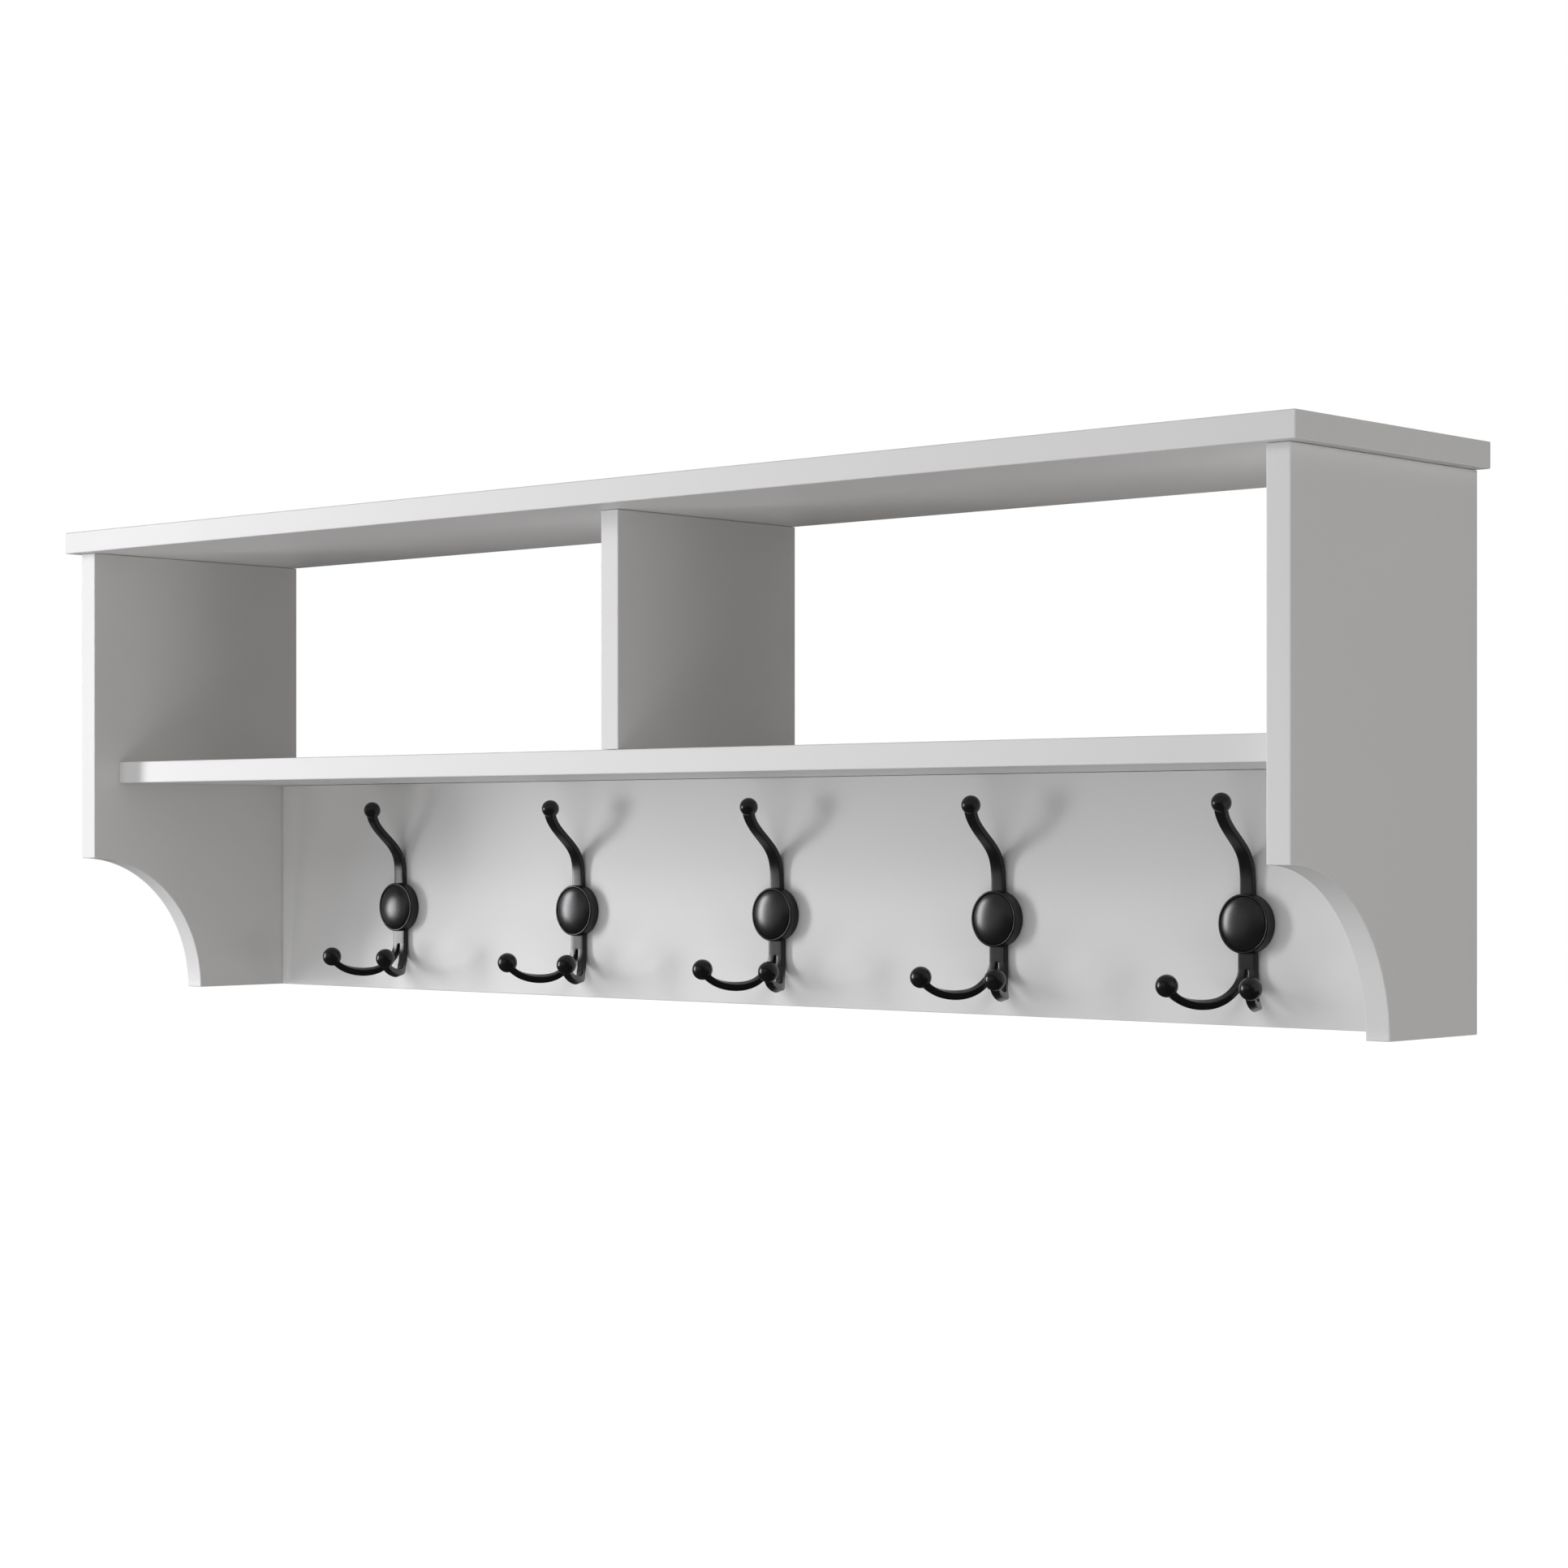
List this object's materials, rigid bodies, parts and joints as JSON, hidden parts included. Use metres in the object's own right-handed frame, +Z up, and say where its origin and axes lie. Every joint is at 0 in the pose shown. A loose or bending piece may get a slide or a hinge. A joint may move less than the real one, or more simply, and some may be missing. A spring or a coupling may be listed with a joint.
{
  "type": "wall hook rack",
  "caption": "Wall-hung white shelf with open cubbies, a centre divider and quarter-round side cut-outs, over a back panel of black triple coat hooks with domed round roses.",
  "frame": {"origin": "middle of the top board's back edge, on the wall plane", "axes": "+Z up, +Y into the wall, +X to the right as seen from the room"},
  "size_m": [1.2474, 0.232, 0.392],
  "materials": {
    "white_paint": "smooth satin white paint on board",
    "black_casting": "satin black powder coat on a zinc casting",
    "black_cap": "satin black enamel, a little glossier than the casting",
    "zinc_screw": "zinc-plated steel",
    "hanger_steel": "stamped zinc-plated sheet steel",
    "beech_dowel": "unfinished beech"
  },
  "bodies": {
    "root": {"back_panel": "white_paint", "centre_divider": "white_paint", "dowel_panel_left_1": "beech_dowel", "dowel_panel_left_2": "beech_dowel", "dowel_panel_right_1": "beech_dowel", "dowel_panel_right_2": "beech_dowel", "dowel_shelf_divider_1": "beech_dowel", "dowel_shelf_divider_2": "beech_dowel", "dowel_shelf_left_1": "beech_dowel", "dowel_shelf_left_2": "beech_dowel", "dowel_shelf_left_3": "beech_dowel", "dowel_shelf_panel_1": "beech_dowel", "dowel_shelf_panel_2": "beech_dowel", "dowel_shelf_panel_3": "beech_dowel", "dowel_shelf_panel_4": "beech_dowel", "dowel_shelf_right_1": "beech_dowel", "dowel_shelf_right_2": "beech_dowel", "dowel_shelf_right_3": "beech_dowel", "dowel_top_divider_1": "beech_dowel", "dowel_top_divider_2": "beech_dowel", "dowel_top_left_1": "beech_dowel", "dowel_top_left_2": "beech_dowel", "dowel_top_left_3": "beech_dowel", "dowel_top_right_1": "beech_dowel", "dowel_top_right_2": "beech_dowel", "dowel_top_right_3": "beech_dowel", "hanger_left": "hanger_steel", "hanger_left_screw_lower": "zinc_screw", "hanger_left_screw_upper": "zinc_screw", "hanger_middle": "hanger_steel", "hanger_middle_screw_lower": "zinc_screw", "hanger_middle_screw_upper": "zinc_screw", "hanger_right": "hanger_steel", "hanger_right_screw_lower": "zinc_screw", "hanger_right_screw_upper": "zinc_screw", "hook_1_cap": "black_cap", "hook_1_casting": "black_casting", "hook_1_screw_lower": "zinc_screw", "hook_1_screw_upper": "zinc_screw", "hook_2_cap": "black_cap", "hook_2_casting": "black_casting", "hook_2_screw_lower": "zinc_screw", "hook_2_screw_upper": "zinc_screw", "hook_3_cap": "black_cap", "hook_3_casting": "black_casting", "hook_3_screw_lower": "zinc_screw", "hook_3_screw_upper": "zinc_screw", "hook_4_cap": "black_cap", "hook_4_casting": "black_casting", "hook_4_screw_lower": "zinc_screw", "hook_4_screw_upper": "zinc_screw", "hook_5_cap": "black_cap", "hook_5_casting": "black_casting", "hook_5_screw_lower": "zinc_screw", "hook_5_screw_upper": "zinc_screw", "middle_shelf": "white_paint", "side_panel_left": "white_paint", "side_panel_right": "white_paint", "top_board": "white_paint"}
  },
  "joints": []
}
